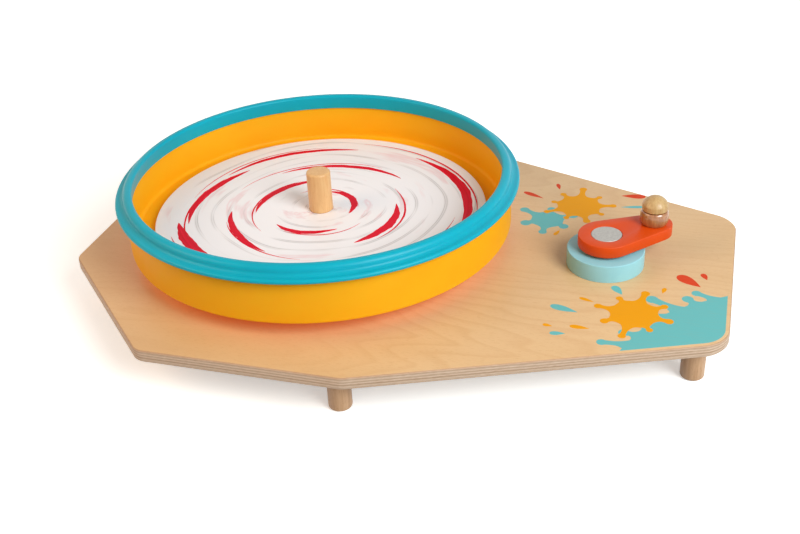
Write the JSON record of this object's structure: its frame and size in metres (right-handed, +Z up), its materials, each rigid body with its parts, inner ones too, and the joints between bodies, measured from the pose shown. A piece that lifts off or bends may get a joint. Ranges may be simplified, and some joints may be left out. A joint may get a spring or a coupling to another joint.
{
  "type": "spin art machine",
  "caption": "Hand-cranked spin painting machine: a round splash tub with a disc on a peg turns on a wooden board, driven by a belt under the board from a crank.",
  "frame": {"origin": "on the floor, under the middle of the board's box", "axes": "+X from the tub towards the crank, +Y to the back, +Z up"},
  "size_m": [0.6492, 0.471, 0.13],
  "materials": {
    "birch_plywood": "clear matt lacquer",
    "beech": "clear satin lacquer",
    "beech_gloss": "clear gloss lacquer",
    "pale_maple": "clear satin lacquer",
    "mint_paint": "satin paint",
    "vermilion_paint": "satin paint",
    "yellow_plastic": "moulded, semi gloss",
    "cyan_plastic": "moulded, semi gloss",
    "painted_card": "white laminate with wet paint",
    "nylon": "natural nylon",
    "black_plastic": "moulded, fine texture",
    "zinc_steel": "zinc plated",
    "satin_steel": "satin, turned head",
    "belt_rubber": "plain round belt"
  },
  "bodies": {
    "base": {"base_board": "birch_plywood", "leg_front_right": "beech", "leg_front_middle": "beech", "leg_front_left": "beech", "leg_rear_left": "beech", "leg_rear_middle": "beech", "leg_rear_right": "beech", "spindle_housing": "black_plastic", "spindle_housing_screws": "zinc_steel", "spindle_bush_upper": "nylon", "spindle_bush_lower": "nylon", "crank_base": "mint_paint", "crank_base_screws": "zinc_steel", "crank_bush_upper": "nylon", "crank_bush_lower": "nylon", "drive_belt": "belt_rubber"},
    "spinner": {"spindle": "zinc_steel", "spindle_washer_upper": "nylon", "spindle_washer_lower": "nylon", "tub_hub": "black_plastic", "hub_pin": "zinc_steel", "tub": "yellow_plastic", "tub_screws": "zinc_steel", "rim_ring": "cyan_plastic", "painting_disc": "painted_card", "centre_peg": "beech", "driven_pulley": "black_plastic", "driven_pulley_washer": "zinc_steel", "driven_pulley_nut": "zinc_steel"},
    "crank": {"crank_shaft": "satin_steel", "crank_washer_upper": "nylon", "crank_washer_lower": "nylon", "crank_arm": "vermilion_paint", "drive_pulley": "black_plastic", "drive_pulley_washer": "zinc_steel", "drive_pulley_nut": "zinc_steel", "handle_bolt": "zinc_steel", "handle_washer": "black_plastic", "handle_cap": "pale_maple"},
    "grip": {"handle_roller": "beech_gloss"}
  },
  "joints": [
    {"name": "tub_spin", "type": "hinge", "parent": "base", "child": "spinner", "pos_m": [-0.0891, 0, 0.07], "axis": [0, 0, 1], "continuous": true},
    {"name": "crank_turn", "type": "hinge", "parent": "base", "child": "crank", "pos_m": [0.2033, 0, 0.07], "axis": [0, 0, 1], "continuous": true},
    {"name": "handle_spin", "type": "hinge", "parent": "crank", "child": "grip", "pos_m": [0.24523, 0.03159, 0.093], "axis": [0, 0, 1], "continuous": true}
  ],
  "couplings": [
    {"joint": "crank_turn", "follows": "tub_spin", "ratio": 0.33333}
  ]
}
